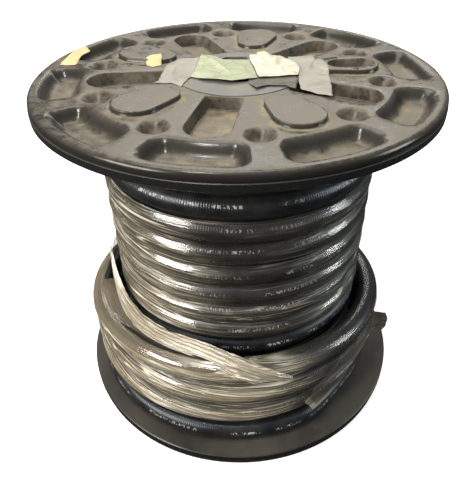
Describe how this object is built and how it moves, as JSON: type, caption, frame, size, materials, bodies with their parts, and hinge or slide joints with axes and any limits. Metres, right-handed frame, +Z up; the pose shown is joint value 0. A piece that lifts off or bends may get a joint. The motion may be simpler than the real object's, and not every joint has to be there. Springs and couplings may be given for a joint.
{
  "type": "wound hose reel",
  "caption": "Flanged plastic reel wound with black rubber hose, its loose outer turns wrapped in stretch film, with tapes and notes on the hub.",
  "frame": {"origin": "centre of the face that the reel stands on, on the reel's axis", "axes": "+Z up along the reel's axis, -Y towards the side that faces the viewer, +X to that viewer's right"},
  "size_m": [0.56, 0.56, 0.5387],
  "materials": {
    "moulding_black": "dusty black structural-foam plastic, worn satin on the edges",
    "disc_black": "smooth black plastic with a film of grey dust",
    "arbor_ring": "blue-grey moulded plastic, wiped cleaner than the flange",
    "barrel_black": "black plastic tube",
    "zinc_steel": "zinc-plated steel, dull",
    "hose_rubber": "black synthetic rubber cover with a fine wrapped texture",
    "stretch_film": "clear stretch film, yellowed and dusty, wrinkled and glossy",
    "film_rope": "stretch film gathered into a rope, cloudy tan",
    "duct_tape": "grey cloth-backed tape with a slight sheen",
    "paper_green": "pale green note paper, creased",
    "paper_cream": "cream paper, torn and creased",
    "kraft": "dusty grey-brown card",
    "masking_tape": "yellowed crepe masking tape"
  },
  "bodies": {
    "root": {"lower_flange_moulding": "moulding_black", "upper_flange_moulding": "moulding_black", "lower_flange_disc": "disc_black", "upper_flange_disc": "disc_black", "lower_arbor_ring": "arbor_ring", "upper_arbor_ring": "arbor_ring", "barrel": "barrel_black", "tie_rods": "zinc_steel", "lower_rod_washers": "zinc_steel", "upper_rod_washers": "zinc_steel", "lower_rod_nuts": "zinc_steel", "upper_rod_nuts": "zinc_steel", "hose_main_winding": "hose_rubber", "hose_outer_turns": "hose_rubber", "film_main_wrap": "stretch_film", "film_outer_wrap": "stretch_film", "film_shoulder": "stretch_film", "film_strand": "film_rope", "film_tail": "stretch_film", "film_end_tab": "stretch_film", "duct_tape_left": "duct_tape", "duct_tape_right": "duct_tape", "note_green": "paper_green", "note_cream": "paper_cream", "kraft_flap": "kraft", "masking_tape_rim": "masking_tape", "masking_tape_flag": "masking_tape"}
  },
  "joints": []
}
